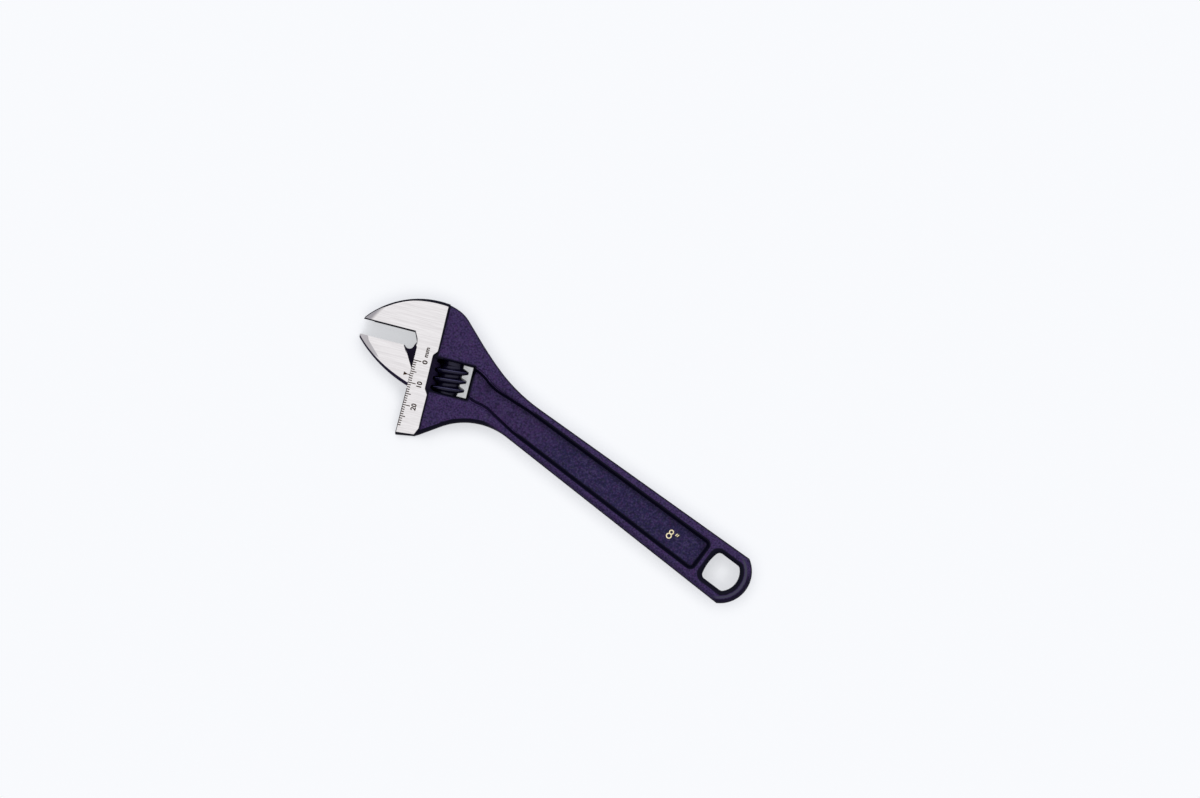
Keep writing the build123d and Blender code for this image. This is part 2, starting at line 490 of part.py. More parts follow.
# Worm: turned blank with a collar at each end, its thread space cut along a right-hand helix
root_half = (WORM_PITCH - WORM_CREST_FLAT) / 2 - THREAD_DEPTH * FLANK_SLOPE
crest_half = root_half + (THREAD_DEPTH + CREST_MARGIN) * FLANK_SLOPE
open_half = crest_half + CREST_ROUND
mouth_radius = WORM_CREST_RADIUS + CREST_MARGIN
space_top = WORM_CREST_RADIUS + RACK_TIP_GAP
with BuildPart() as worm:
    with BuildSketch(TURNED_UPRIGHT):
        with BuildLine():
            Polyline(
                (WORM_BORE_RADIUS, WORM_BOTTOM),
                (WORM_COLLAR_RADIUS, WORM_BOTTOM),
                (WORM_COLLAR_RADIUS, WORM_BOTTOM + COLLAR_LENGTH_LOWER),
                (WORM_CREST_RADIUS, WORM_BOTTOM + COLLAR_LENGTH_LOWER + THREAD_RUNOUT),
                (WORM_CREST_RADIUS, WORM_TOP - COLLAR_LENGTH - THREAD_RUNOUT),
                (WORM_COLLAR_RADIUS, WORM_TOP - COLLAR_LENGTH),
                (WORM_COLLAR_RADIUS, WORM_TOP),
                (SPRING_POCKET_RADIUS, WORM_TOP),
                (SPRING_POCKET_RADIUS, WORM_TOP - SPRING_POCKET_DEPTH),
                (WORM_BORE_RADIUS, WORM_TOP - SPRING_POCKET_DEPTH),
                close=True,
            )
        make_face()
    revolve(axis=WORM_AXIS)
    # One turn at a time, from the side away from the rack, half a pitch off the crest there
    for turn_number in range(-WORM_TURNS, 1):
        space_v = WORM_CREST_V + (turn_number + 0.5) * WORM_PITCH
        with BuildLine() as thread_path:
            Helix(WORM_PITCH, WORM_PITCH, WORM_ROOT_RADIUS, WORM_POINT + V_DIR * space_v, V_DIR)
        with BuildSketch(TURNED) as thread_space:
            Polygon(
                (WORM_ROOT_RADIUS, space_v - root_half),
                (mouth_radius, space_v - crest_half),
                (mouth_radius, space_v - open_half),
                (space_top, space_v - open_half),
                (space_top, space_v + open_half),
                (mouth_radius, space_v + open_half),
                (mouth_radius, space_v + crest_half),
                (WORM_ROOT_RADIUS, space_v + root_half),
                align=None,
            )
            fillet(thread_space.vertices().sort_by_distance((mouth_radius, space_v))[:2], CREST_ROUND)
        sweep(thread_space.sketch, path=thread_path.line, is_frenet=True, mode=Mode.SUBTRACT)
worm.part.label = "worm"
export_step(worm.part, "parts/worm.step")

# Pin: plain shank through the worm, thicker screwed head with a driver slot
with BuildPart() as worm_pin:
    with BuildSketch(TURNED):
        with BuildLine():
            Polyline(
                (0, PIN_FOOT),
                (PIN_HEAD_RADIUS - PIN_CHAMFER, PIN_FOOT),
                (PIN_HEAD_RADIUS, PIN_FOOT + PIN_CHAMFER),
                (PIN_HEAD_RADIUS, PIN_SHOULDER),
                (PIN_RADIUS, PIN_SHOULDER),
                (PIN_RADIUS, PIN_TOP - PIN_CHAMFER),
                (PIN_RADIUS - PIN_CHAMFER, PIN_TOP),
                (0, PIN_TOP),
                close=True,
            )
        make_face()
    revolve(axis=WORM_AXIS)
    with BuildSketch(across(WORM_U, PIN_FOOT)):
        Rectangle(3 * PIN_HEAD_RADIUS, PIN_SLOT)
    extrude(amount=PIN_SLOT_DEPTH, mode=Mode.SUBTRACT)
worm_pin.part.label = "worm_pin"
export_step(worm_pin.part, "parts/worm_pin.step")

# Spring: round wire coiled about the pin in the worm's pocket, reaching up to the window's upper wall
spring_rise = SPRING_POCKET_DEPTH + WORM_END_GAP - SPRING_WIRE - 2 * SPRING_END_GAP
spring_foot = WORM_TOP - SPRING_POCKET_DEPTH + SPRING_END_GAP + SPRING_WIRE / 2
with BuildPart() as worm_spring:
    with BuildLine() as coil:
        Helix(spring_rise / SPRING_TURNS, spring_rise, SPRING_RADIUS, WORM_POINT + V_DIR * spring_foot, V_DIR)
    with BuildSketch(Plane(origin=coil.line @ 0, z_dir=coil.line % 0)):
        Circle(SPRING_WIRE / 2)
    sweep(path=coil.line, is_frenet=True)
worm_spring.part.label = "worm_spring"
export_step(worm_spring.part, "parts/worm_spring.step")

for piece in (body, moving_jaw, worm, worm_pin, worm_spring):
    print(piece.part.label, round(piece.part.volume), "mm3", len(piece.solids()), "solid")
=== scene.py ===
"""Adjustable wrench of the 8-inch size: forged body, ground head, sliding jaw, worm, pin and spring."""

import math

import bmesh
import bpy
from mathutils import Matrix, Vector


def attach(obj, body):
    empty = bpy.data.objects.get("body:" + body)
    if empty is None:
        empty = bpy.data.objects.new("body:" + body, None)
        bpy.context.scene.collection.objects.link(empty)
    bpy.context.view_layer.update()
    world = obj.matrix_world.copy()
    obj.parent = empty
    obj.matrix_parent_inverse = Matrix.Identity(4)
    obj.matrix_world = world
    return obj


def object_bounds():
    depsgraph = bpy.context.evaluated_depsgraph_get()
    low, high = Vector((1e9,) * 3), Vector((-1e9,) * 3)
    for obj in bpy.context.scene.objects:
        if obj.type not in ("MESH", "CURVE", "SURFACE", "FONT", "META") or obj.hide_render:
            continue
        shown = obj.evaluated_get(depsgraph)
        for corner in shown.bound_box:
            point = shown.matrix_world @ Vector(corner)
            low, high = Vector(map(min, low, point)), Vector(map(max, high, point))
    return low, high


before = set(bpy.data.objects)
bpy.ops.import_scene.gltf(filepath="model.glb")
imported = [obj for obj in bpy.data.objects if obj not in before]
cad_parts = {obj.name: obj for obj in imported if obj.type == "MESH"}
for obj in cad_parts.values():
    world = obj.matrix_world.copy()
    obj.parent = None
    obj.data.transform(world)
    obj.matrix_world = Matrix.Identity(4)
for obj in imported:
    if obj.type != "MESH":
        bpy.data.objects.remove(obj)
cad_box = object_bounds()


# Body: one drop-forged piece of alloy steel, with the handle, neck, cheeks and fixed jaw in one.
# It is blackened all over, and then its cheeks, the jaw's sides and the bevels beside its tip are ground.
MM = 0.001
HEAD_ANGLE = math.radians(22.5)
FACE_HEIGHT = cad_box[1][2] / MM
VALUE, VECTOR, COLOUR = "NodeSocketFloat", "NodeSocketVector", "NodeSocketColor"


def put(tree, kind, *values, **settings):
    """Adds a node and returns it; each value goes to the input in its place, linked if it is a socket."""
    node = tree.nodes.new(kind)
    for name, value in settings.items():
        setattr(node, name, value)
    for socket, value in zip(node.inputs, values):
        if isinstance(value, bpy.types.NodeSocket):
            tree.links.new(value, socket)
        else:
            socket.default_value = value
    return node


def calc(tree, operation, *values):
    """One step of arithmetic between sockets and numbers."""
    return put(tree, "ShaderNodeMath", *values, operation=operation).outputs[0]


def new_group(name, inputs, outputs):
    """An empty shader node group; gives the group, what comes in and what goes out, by name."""
    group = bpy.data.node_groups.new(name, "ShaderNodeTree")
    for socket, kind in inputs:
        group.interface.new_socket(socket, in_out="INPUT", socket_type=kind)
    for socket, kind in outputs:
        group.interface.new_socket(socket, in_out="OUTPUT", socket_type=kind)
    return group, group.nodes.new("NodeGroupInput").outputs, group.nodes.new("NodeGroupOutput").inputs


# Where a point lies, in millimetres: on the head along and across the jaw faces, and on the handle
where, _, leave = new_group(
    "where",
    [],
    [
        ("Head", VECTOR), ("Along", VALUE), ("Across", VALUE), ("Level", VALUE), ("Flatness", VALUE),
        ("Handle X", VALUE), ("Handle Y", VALUE),
    ],
)
point = put(where, "ShaderNodeTexCoord").outputs
sized = put(where, "ShaderNodeMapping", point["Object"])
sized.inputs["Scale"].default_value = (1 / MM, 1 / MM, 1 / MM)
turned = put(where, "ShaderNodeMapping", sized.outputs[0])
turned.inputs["Rotation"].default_value = (0, 0, -HEAD_ANGLE)
head_axes = put(where, "ShaderNodeSeparateXYZ", turned.outputs[0]).outputs
row_axes = put(where, "ShaderNodeSeparateXYZ", sized.outputs[0]).outputs
facing = put(where, "ShaderNodeSeparateXYZ", point["Normal"]).outputs
from_middle = calc(where, "ABSOLUTE", calc(where, "SUBTRACT", head_axes[2], FACE_HEIGHT / 2))
where.links.new(turned.outputs[0], leave["Head"])
where.links.new(head_axes[0], leave["Along"])
where.links.new(head_axes[1], leave["Across"])
where.links.new(from_middle, leave["Level"])
where.links.new(calc(where, "ABSOLUTE", facing[2]), leave["Flatness"])
where.links.new(row_axes[0], leave["Handle X"])
where.links.new(row_axes[1], leave["Handle Y"])

# Distance from the edge of a box with rounded corners, less than zero inside it
box_edge, entry, leave = new_group(
    "box edge",
    [("X", VALUE), ("Y", VALUE), ("Half X", VALUE), ("Half Y", VALUE), ("Corner", VALUE)],
    [("Distance", VALUE)],
)
past = []
for axis in "XY":
    past_side = calc(box_edge, "SUBTRACT", calc(box_edge, "ABSOLUTE", entry[axis]), entry["Half " + axis])
    past.append(calc(box_edge, "ADD", past_side, entry["Corner"]))
beyond = put(box_edge, "ShaderNodeCombineXYZ", *(calc(box_edge, "MAXIMUM", part, 0.0) for part in past))
outside = put(box_edge, "ShaderNodeVectorMath", beyond.outputs[0], operation="LENGTH").outputs["Value"]
inside = calc(box_edge, "MINIMUM", calc(box_edge, "MAXIMUM", *past), 0.0)
from_corner = calc(box_edge, "SUBTRACT", calc(box_edge, "ADD", outside, inside), entry["Corner"])
box_edge.links.new(from_corner, leave["Distance"])


def ramp(tree, value, limits, ends=(0.0, 1.0)):
    """A smooth change from one number to another as a socket goes from one limit to the other."""
    node = put(tree, "ShaderNodeMapRange", value, *limits, *ends, interpolation_type="SMOOTHSTEP")
    return node.outputs[0]


def blend(tree, share, first, second):
    """Two numbers mixed by a share."""
    vector_share = (0.5, 0.5, 0.5)
    return put(tree, "ShaderNodeMix", share, vector_share, first, second).outputs[0]


def mixed(tree, share, first, second):
    """Two colours mixed by a share."""
    node = put(tree, "ShaderNodeMix", share, data_type="RGBA")
    for socket, value in ((node.inputs[6], first), (node.inputs[7], second)):
        if isinstance(value, bpy.types.NodeSocket):
            tree.links.new(value, socket)
        else:
            socket.default_value = (*value, 1.0)
    return node.outputs[2]


def speckle(tree, place, sizes, detail=2.0, roughness=0.5):
    """Noise whose grains have their own size along each axis, in the place's own units."""
    stretched = put(tree, "ShaderNodeMapping", place)
    stretched.inputs["Scale"].default_value = [1 / size for size in sizes]
    noise = put(tree, "ShaderNodeTexNoise", stretched.outputs[0])
    noise.inputs["Scale"].default_value = 1.0
    noise.inputs["Detail"].default_value = detail
    noise.inputs["Roughness"].default_value = roughness
    return noise.outputs[0]


# Ground steel: streaks along the jaw faces, broad faint ones and fine ones
NOISE_RANGE = (0.3, 0.7)
BROAD_STREAK, FINE_STREAK, FINE_SHARE = (14.0, 0.55, 4.0), (5.0, 0.14, 4.0), 0.35
STREAK_RANGE, STREAK_TONES = (0.34, 0.66), ((0.70, 0.675, 0.69), (0.86, 0.84, 0.855))
STEEL_CLOUD, CLOUD_RANGE, CLOUD_SHARE = (9.0, 6.0, 6.0), (0.3, 0.8), (0.0, 0.35)
CLOUD_TONE = (0.80, 0.77, 0.79)
STEEL_ROUGHNESS = (0.40, 0.30)

ground_grain, entry, leave = new_group(
    "ground grain", [("Head", VECTOR)], [("Color", COLOUR), ("Roughness", VALUE), ("Height", VALUE)]
)
broad = speckle(ground_grain, entry["Head"], BROAD_STREAK, detail=3.0, roughness=0.6)
fine = speckle(ground_grain, entry["Head"], FINE_STREAK)
cloud = speckle(ground_grain, entry["Head"], STEEL_CLOUD, detail=1.0)
streak = blend(ground_grain, FINE_SHARE, broad, fine)
tone = mixed(ground_grain, ramp(ground_grain, streak, STREAK_RANGE), *STREAK_TONES)
tone = mixed(ground_grain, ramp(ground_grain, cloud, CLOUD_RANGE, CLOUD_SHARE), tone, CLOUD_TONE)
ground_grain.links.new(tone, leave["Color"])
ground_grain.links.new(ramp(ground_grain, streak, NOISE_RANGE, STEEL_ROUGHNESS), leave["Roughness"])
ground_grain.links.new(streak, leave["Height"])

# Blackening: satin and grainy, a little violet on the faces, bluer and darker in the recess, and near-black
# by the Deep share, which is mostly painted shade on the body and a darker coat on the worm and the jaw
MOTTLE, TINT, GRAIN, GRIT = (2.2,) * 3, (0.9,) * 3, (0.75,) * 3, (0.35,) * 3
MOTTLE_RANGE, MOTTLE_SHARE = (0.35, 0.65), 0.38
VIOLET_TONES = (0.0320, 0.0198, 0.080), (0.0400, 0.0186, 0.086)
BLUE_TONES = (0.0160, 0.0150, 0.062), (0.0220, 0.0138, 0.066)
GREY_TINT, RED_TINT = (0.036, 0.035, 0.046), (0.052, 0.015, 0.076)
DARK_GRAIN, LIGHT_GRAIN = (0.009, 0.007, 0.030), (0.060, 0.042, 0.125)
DARK_COAT_AND_SHADE = (0.0018, 0.0014, 0.0090)
COAT_ROUGHNESS = (0.48, 0.60)

black_coat, entry, leave = new_group(
    "black coat",
    [("Place", VECTOR), ("Recess", VALUE), ("Deep", VALUE)],
    [("Color", COLOUR), ("Roughness", VALUE), ("Height", VALUE)],
)
mottle = speckle(black_coat, entry["Place"], MOTTLE, detail=4.0, roughness=0.65)
tint = speckle(black_coat, entry["Place"], TINT, detail=0.0)
grain = speckle(black_coat, entry["Place"], GRAIN, detail=1.0)
grit = speckle(black_coat, entry["Place"], GRIT)
cloudy = ramp(black_coat, mottle, MOTTLE_RANGE)
violet = mixed(black_coat, cloudy, *VIOLET_TONES)
blue = mixed(black_coat, cloudy, *BLUE_TONES)
face = mixed(black_coat, entry["Recess"], violet, blue)
for noise, limits, shares, colour in (
    (tint, (0.55, 0.75), (0.0, 0.4), GREY_TINT),
    (tint, (0.25, 0.45), (0.4, 0.0), RED_TINT),
    (grain, (0.30, 0.50), (0.8, 0.0), DARK_GRAIN),
    (grain, (0.50, 0.72), (0.0, 0.7), LIGHT_GRAIN),
):
    face = mixed(black_coat, ramp(black_coat, noise, limits, shares), face, colour)
black_coat.links.new(mixed(black_coat, entry["Deep"], face, DARK_COAT_AND_SHADE), leave["Color"])
black_coat.links.new(ramp(black_coat, grit, NOISE_RANGE, COAT_ROUGHNESS), leave["Roughness"])
black_coat.links.new(blend(black_coat, MOTTLE_SHARE, grit, mottle), leave["Height"])


def fed(tree, group, *values):
    """Puts a node group in a material, feeds it and gives its outputs."""
    node = tree.nodes.new("ShaderNodeGroup")
    node.node_tree = group
    for socket, value in zip(node.inputs, values):
        if isinstance(value, bpy.types.NodeSocket):
            tree.links.new(value, socket)
        else:
            socket.default_value = value
    return node.outputs


def new_material(name):
    """A material; gives it, its tree and the inputs of its shader."""
    material = bpy.data.materials.new(name)
    material.use_nodes = True
    return material, material.node_tree, material.node_tree.nodes["Principled BSDF"].inputs


def fine_relief(tree, shader, height, strength, depth):
    """Bends the light as a fine relief of a depth in metres would."""
    relief = put(tree, "ShaderNodeBump")
    relief.inputs["Strength"].default_value = strength
    relief.inputs["Distance"].default_value = depth
    tree.links.new(height, relief.inputs["Height"])
    tree.links.new(relief.outputs[0], shader["Normal"])


def two_finishes(tree, shader, head, bright, bevel, shaded_bevel_steel, coat, coat_colour):
    """Ground steel where a mask is bright, blackening elsewhere; bevels get a darker steel colour as
    painted shade.
    """
    ground = fed(tree, ground_grain, head)
    steel = mixed(tree, bevel, ground["Color"], shaded_bevel_steel)
    tree.links.new(mixed(tree, bright, coat_colour, steel), shader["Base Color"])
    tree.links.new(bright, shader["Metallic"])
    tree.links.new(blend(tree, bright, coat["Roughness"], ground["Roughness"]), shader["Roughness"])
    shader["Specular IOR Level"].default_value = 0.08
    height = blend(tree, bright, coat["Height"], ground["Height"])
    fine_relief(tree, shader, height, strength=0.25, depth=0.00004)


# Masks say where each finish lies and where shade is painted. A pair of limits, in millimetres or as a
# tilt, is where a mask changes.
FALL = (1.0, 0.0)


def both(tree, first, *others):
    """Where all masks meet."""
    for mask in others:
        first = calc(tree, "MULTIPLY", first, mask)
    return first


def either(tree, first, *others):
    """Where any of the masks is."""
    for mask in others:
        first = calc(tree, "MAXIMUM", first, mask)
    return first


def around(place, soft=0.1):
    """Limits close to both sides of a place."""
    return place - soft, place + soft


def distance_to(tree, x, y, centre):
    """How far a place lies from a centre, seen along the third axis."""
    place = put(tree, "ShaderNodeCombineXYZ", x, y, 0.0).outputs[0]
    return put(tree, "ShaderNodeVectorMath", place, (*centre, 0.0), operation="DISTANCE").outputs["Value"]


def from_box(tree, place, middle, half, corner):
    """How far a place lies outside a box with rounded corners, seen along the third axis."""
    offsets = [calc(tree, "SUBTRACT", part, centre) for part, centre in zip(place, middle)]
    return fed(tree, box_edge, *offsets, *half, corner)[0]


forged_body, tree, shader = new_material("forged and ground body")
at = fed(tree, where)
along, across, level, flatness = at["Along"], at["Across"], at["Level"], at["Flatness"]
x, y = at["Handle X"], at["Handle Y"]

# Painted shade: black on the recessed panel's walls, and darker on the panel's floor towards the upper wall
PANEL_MIDDLE, PANEL_HALF, PANEL_CORNER = (87.4, 0.25), 60.0, 2.5
PANEL_WIDTH, PANEL_FLARE = 5.868, 0.011
WALL_INSIDE, WALL_OUTSIDE, WALL_START = (-1.8, -1.15), (0.25, 0.65), (47.0, 53.0)
SHADE_INSIDE, SHADE_OUTSIDE, SHADE_SIDE = (-4.5, -1.0), (0.0, 0.5), (0.0, 3.0)
SHADE_SHARE = (0.0, 0.45)

panel_width = calc(tree, "MULTIPLY_ADD", x, PANEL_FLARE, PANEL_WIDTH)
from_panel = from_box(tree, (x, y), PANEL_MIDDLE, (PANEL_HALF, panel_width), PANEL_CORNER)
panel_wall = both(
    tree,
    ramp(tree, from_panel, WALL_INSIDE),
    ramp(tree, from_panel, WALL_OUTSIDE, FALL),
    ramp(tree, x, WALL_START),
)
panel_shade = both(
    tree,
    ramp(tree, from_panel, SHADE_INSIDE, SHADE_SHARE),
    ramp(tree, from_panel, SHADE_OUTSIDE, FALL),
    ramp(tree, y, SHADE_SIDE),
)

# Painted shade on the hang hole's lip and along the end's lower edge, and a painted highlight in a line
# round the end
HOLE_MIDDLE, HOLE_HALF, HOLE_CORNER = (158.7, 0.0), (7.5, 6.65), 2.2
END_CENTRE = (157.55, 0.0)
LIP_WIDTH, LIP_REACH, LIP_LEFT = (1.6, 2.3), (10.2, 11.0), (158.0, 161.0)
EDGE_INSIDE, EDGE_SIDE, EDGE_START, EDGE_SHARE = (11.7, 12.5), (3.0, 9.0), (158.0, 164.0), (0.0, 0.85)
RIM_INSIDE, RIM_OUTSIDE, RIM_START = (10.6, 11.1), (11.6, 12.1), (160.0, 165.0)
PAINTED_RIM_HIGHLIGHT = (0.050, 0.048, 0.080)

from_hole = from_box(tree, (x, y), HOLE_MIDDLE, HOLE_HALF, HOLE_CORNER)
from_end = distance_to(tree, x, y, END_CENTRE)
lip_place = either(tree, ramp(tree, from_end, LIP_REACH, FALL), ramp(tree, x, LIP_LEFT, FALL))
hole_lip = both(tree, ramp(tree, from_hole, LIP_WIDTH, FALL), lip_place)
end_edge = both(
    tree,
    ramp(tree, from_end, EDGE_INSIDE, EDGE_SHARE),
    ramp(tree, y, EDGE_SIDE, FALL),
    ramp(tree, x, EDGE_START),
)
rim_highlight = both(
    tree,
    ramp(tree, from_end, RIM_INSIDE),
    ramp(tree, from_end, RIM_OUTSIDE, FALL),
    ramp(tree, x, RIM_START),
)

# Painted shade: black on the window's lip and at the cheeks' foot, and dark on the neck's and the handle's
# lower edges
WINDOW_MIDDLE, WINDOW_HALF, WINDOW_CORNER = (10.475, -7.86), (9.375, 7.4), 0.3
WINDOW_LIP = (0.3, 1.3)
FOOT_BACK, FOOT_LEVEL = (2.9, 3.25), (6.5, 6.9)
NECK_TILT, NECK_SIDE, NECK_END, NECK_SHARE = (0.985, 0.9995), (-10.0, -8.0), (44.0, 58.0), (1.0, 0.3)
HANDLE_WIDTH, HANDLE_FLARE = 8.064, 0.0245
LOWER_WIDTH, LOWER_START, LOWER_SHARE = (1.5, 2.4), (50.0, 62.0), (0.3, 0.0)

from_window = from_box(tree, (along, across), WINDOW_MIDDLE, WINDOW_HALF, WINDOW_CORNER)
window_lip = ramp(tree, from_window, WINDOW_LIP, FALL)
cheek_foot = both(tree, ramp(tree, along, FOOT_BACK, FALL), ramp(tree, level, FOOT_LEVEL, FALL))
neck_edge = both(
    tree,
    ramp(tree, flatness, NECK_TILT, FALL),
    ramp(tree, y, NECK_SIDE, FALL),
    ramp(tree, x, NECK_END, NECK_SHARE),
)
from_lower = calc(tree, "ADD", y, calc(tree, "MULTIPLY_ADD", x, HANDLE_FLARE, HANDLE_WIDTH))
lower_edge = both(tree, ramp(tree, from_lower, LOWER_WIDTH, LOWER_SHARE), ramp(tree, x, LOWER_START))

# Painted shade: black on steep walls, less on the neck's lower side and on walls that ease off; and black
# all over the head above the neck. The panel's floor is the bluer, darker recess.
STEEP_TILT = (0.55, 0.84)
PALER_SIDE, PALER_END, PALER_SHARE = (-6.0, -2.0), (34.0, 50.0), (0.85, 1.0)
EASED_LEVEL, EASED_STEEP, EASED_FLAT, EASED_LOSS = (4.55, 4.75), (0.33, 0.40), (0.46, 0.52), 0.75
HEAD_LEVEL = (6.45, 6.55)
RECESS_LEVEL, RECESS_START = (2.75, 3.6), (52.0, 74.0)

paler_wall = either(tree, ramp(tree, y, PALER_SIDE), ramp(tree, x, PALER_END, PALER_SHARE))
eased_wall = both(
    tree,
    ramp(tree, level, EASED_LEVEL),
    ramp(tree, flatness, EASED_STEEP),
    ramp(tree, flatness, EASED_FLAT, FALL),
)
eased_share = calc(tree, "MULTIPLY_ADD", eased_wall, -EASED_LOSS, 1.0)
steep = both(tree, ramp(tree, flatness, STEEP_TILT, FALL), paler_wall, eased_share)
head_side = ramp(tree, level, HEAD_LEVEL)
black_and_painted_shade = either(
    tree, panel_wall, panel_shade, hole_lip, window_lip, cheek_foot, neck_edge, end_edge, lower_edge,
    steep, head_side,
)
recess = both(tree, ramp(tree, level, RECESS_LEVEL, FALL), ramp(tree, x, RECESS_START))
coat = fed(tree, black_coat, at["Head"], recess, black_and_painted_shade)
# The painted highlight round the end goes into the coat's colour
coat_colour = mixed(tree, rim_highlight, coat["Color"], PAINTED_RIM_HIGHLIGHT)

# Bright where the head's sides are flat, up to dark lines along the jaw's back, face and throat, which are
# partly black edges and partly painted shade
GROUND_LEVEL, GROUND_TILT = (7.0, 7.1), (0.955, 0.975)
JAW_ARC_CENTRE = (-1.72, -15.46)
ARC_STRETCH, ARC_RADII = (-16.0, -2.0), (38.2, 37.75)
JAW_FACE = 7.94
FACE_LINE, FACE_END = (JAW_FACE + 0.50, JAW_FACE + 0.60), (-9.4, -8.9)
THROAT_RUNS = ((-0.568, -4.76), (-0.2, -6.76))
THROAT_LINE, THROAT_SHARE = (0.25, 0.45), (0.45, 1.0)
THROAT_LOWER, THROAT_UPPER = (2.8, 3.4), (8.2, 8.5)

from_arc = distance_to(tree, along, across, JAW_ARC_CENTRE)
past_arc = calc(tree, "SUBTRACT", from_arc, ramp(tree, along, ARC_STRETCH, ARC_RADII))
face_line = either(tree, ramp(tree, across, FACE_LINE), ramp(tree, along, FACE_END))
throat_wall = calc(tree, "MINIMUM", *(calc(tree, "MULTIPLY_ADD", across, *run) for run in THROAT_RUNS))
throat_line = either(
    tree,
    ramp(tree, calc(tree, "SUBTRACT", along, throat_wall), THROAT_LINE, THROAT_SHARE),
    ramp(tree, across, THROAT_LOWER, FALL),
    ramp(tree, across, THROAT_UPPER),
)

# The cheeks are bright from the scale's edge to a back line with a few bends, and down to a sloping corner
STRIP_TOP, STRIP_LEFT = (-17.5, -16.5), -6.6
CORNER_SLOPE, CORNER_PLACE = 0.45, 17.15
BACK_LINE = ((-14.6, 0.0), (0.84, 0.68))
BACK_BENDS = (
    ((-36.0, -26.0), (0.2, 0.0)),
    ((-17.8, -14.6), (1.53, 0.0)),
    ((-0.3, 2.4), (0.0, 1.64)),
    ((3.0, 22.0), (0.0, -0.28)),
)

from_slope = calc(tree, "MULTIPLY_ADD", across, -CORNER_SLOPE, along)
strip_edges = either(
    tree, ramp(tree, along, around(STRIP_LEFT), FALL), ramp(tree, from_slope, around(CORNER_PLACE))
)
strip_side = calc(tree, "SUBTRACT", 1.0, both(tree, ramp(tree, across, STRIP_TOP, FALL), strip_edges))
back_limit = ramp(tree, across, *BACK_LINE)
for stretch, shift in BACK_BENDS:
    back_limit = calc(tree, "ADD", back_limit, ramp(tree, across, stretch, shift))
back_side = ramp(tree, calc(tree, "SUBTRACT", along, back_limit), around(0.0), FALL)
flat_side = both(
    tree,
    ramp(tree, level, GROUND_LEVEL),
    ramp(tree, flatness, GROUND_TILT),
    ramp(tree, past_arc, around(0.0), FALL),
    face_line,
    throat_line,
    strip_side,
    back_side,
)

# The bevel beside the tip is ground too, with painted shade: its steel is darker away from its axis
BEVEL_AXIS, BEVEL_RADIUS = (22.82, -18.18), 57.84
BEVEL_END = (-18.0, -14.0)
BEVEL_STEEP, BEVEL_FLAT = (0.74, 0.80), (0.90, 0.96)
BEVEL_STRETCH, BEVEL_RADII = (-28.0, -22.0), (38.6, 38.1)
BEVEL_SHADE = (BEVEL_RADIUS - 0.2, BEVEL_RADIUS + 1.4)
SHADED_BEVEL_TONES = (0.76, 0.73, 0.74), (0.36, 0.345, 0.375)

past_back = calc(tree, "SUBTRACT", from_arc, ramp(tree, along, BEVEL_STRETCH, BEVEL_RADII))
bevel = both(
    tree,
    ramp(tree, along, BEVEL_END, FALL),
    ramp(tree, flatness, BEVEL_STEEP),
    ramp(tree, flatness, BEVEL_FLAT, FALL),
    ramp(tree, past_back, around(0.0), FALL),
    face_line,
)
from_axis = distance_to(tree, along, across, BEVEL_AXIS)
shaded_bevel_steel = mixed(tree, ramp(tree, from_axis, BEVEL_SHADE), *SHADED_BEVEL_TONES)
bright = either(tree, flat_side, bevel)
two_finishes(tree, shader, at["Head"], bright, bevel, shaded_bevel_steel, coat, coat_colour)
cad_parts["body"].material_slots[0].material = forged_body


# Scale on the cheek: a millimetre rule from 0 to 29 with its numbers, burnt into the ground face.
# The jaw's pointer is read against it. Each line is a shallow filled cut.
CHEEK_EDGE = -6.88
SCALE_ZERO, SCALE_LENGTH = -4.06, 29
MARK_DEPTH = 0.05
PROUD = 0.012
TICK_WIDTH = 0.44
TICK_ENDS = {10: -3.5, 5: -4.4, 1: -5.45}
NUMBER_LINE = -1.88
NUMBERS = (
    ("scale_0", "0", SCALE_ZERO + 0.12, 2.35, 1.15),
    ("scale_unit", "mm", 0.5, 1.4, 1.12),
    ("scale_10", "10", SCALE_ZERO - 9.8, 2.35, 1.0),
    ("scale_20", "20", SCALE_ZERO - 20, 2.35, 1.0),
)
LETTER_WEIGHT, LETTER_STEPS = 0.035, 6
SAME_POINT = 0.0001
SOOT_GRAIN, SOOT_RANGE = (0.0004,) * 3, (0.35, 0.65)
SOOT_TONES, SOOT_ROUGHNESS = ((0.014, 0.006, 0.003), (0.045, 0.020, 0.008)), (0.6, 0.8)
head_turn = Matrix.Scale(MM, 4) @ Matrix.Rotation(HEAD_ANGLE, 4, "Z")


def two_tones(tree, shader, grain, tones, roughness, limits=NOISE_RANGE):
    """Speckles a surface with two tones in grains of a size, and makes it more or less rough with them."""
    noise = speckle(tree, put(tree, "ShaderNodeTexCoord").outputs["Object"], grain)
    tree.links.new(mixed(tree, ramp(tree, noise, limits), *tones), shader["Base Color"])
    tree.links.new(ramp(tree, noise, NOISE_RANGE, roughness), shader["Roughness"])


def placed(shape, name, body, material):
    """Makes a finished piece from a shape in the row frame and lets it ride on its body."""
    mesh = bpy.data.meshes.new(name)
    shape.to_mesh(mesh)
    shape.free()
    mesh.materials.append(material)
    piece = bpy.data.objects.new(name, mesh)
    bpy.context.scene.collection.objects.link(piece)
    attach(piece, body)


def thicken(shape, depth):
    """Raises a copy of a flat shape by a depth and closes the sides between them."""
    raised = bmesh.ops.extrude_face_region(shape, geom=shape.faces[:])["geom"]
    tops = [v for v in raised if isinstance(v, bmesh.types.BMVert)]
    bmesh.ops.translate(shape, verts=tops, vec=(0, 0, depth))
    bmesh.ops.recalc_face_normals(shape, faces=shape.faces[:])


